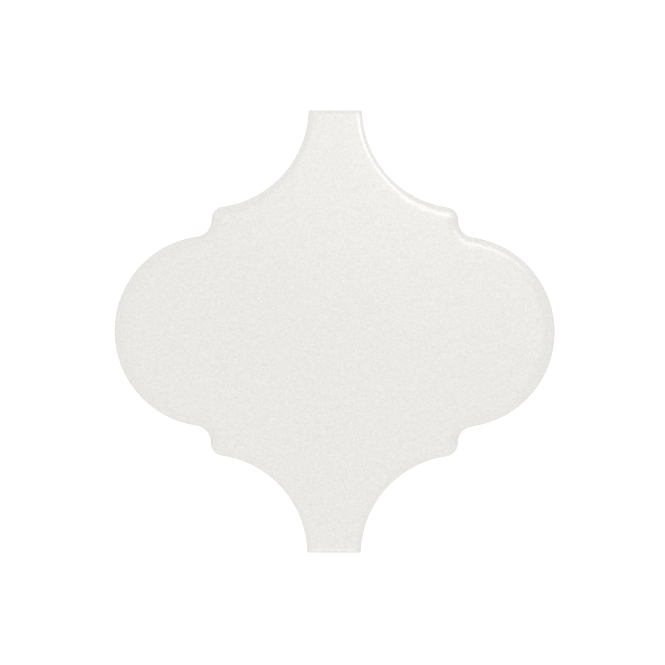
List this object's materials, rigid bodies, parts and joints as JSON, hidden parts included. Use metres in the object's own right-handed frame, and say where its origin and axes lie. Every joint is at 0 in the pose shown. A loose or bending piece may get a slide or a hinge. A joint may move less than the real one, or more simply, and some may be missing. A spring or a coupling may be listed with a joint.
{
  "type": "wall tile",
  "caption": "Glazed ceramic wall tile in an interlocking arabesque lantern shape, with softly rolled edges and a ribbed back for adhesive.",
  "frame": {"origin": "in the plane of the back, under the middle of the face, on the central rib", "axes": "+Z out of the glazed face, +Y towards one neck end, +X towards one lobe"},
  "size_m": [0.1194, 0.12, 0.0085],
  "materials": {
    "white_glaze": "satin"
  },
  "bodies": {
    "root": {"tile": "white_glaze"}
  },
  "joints": []
}
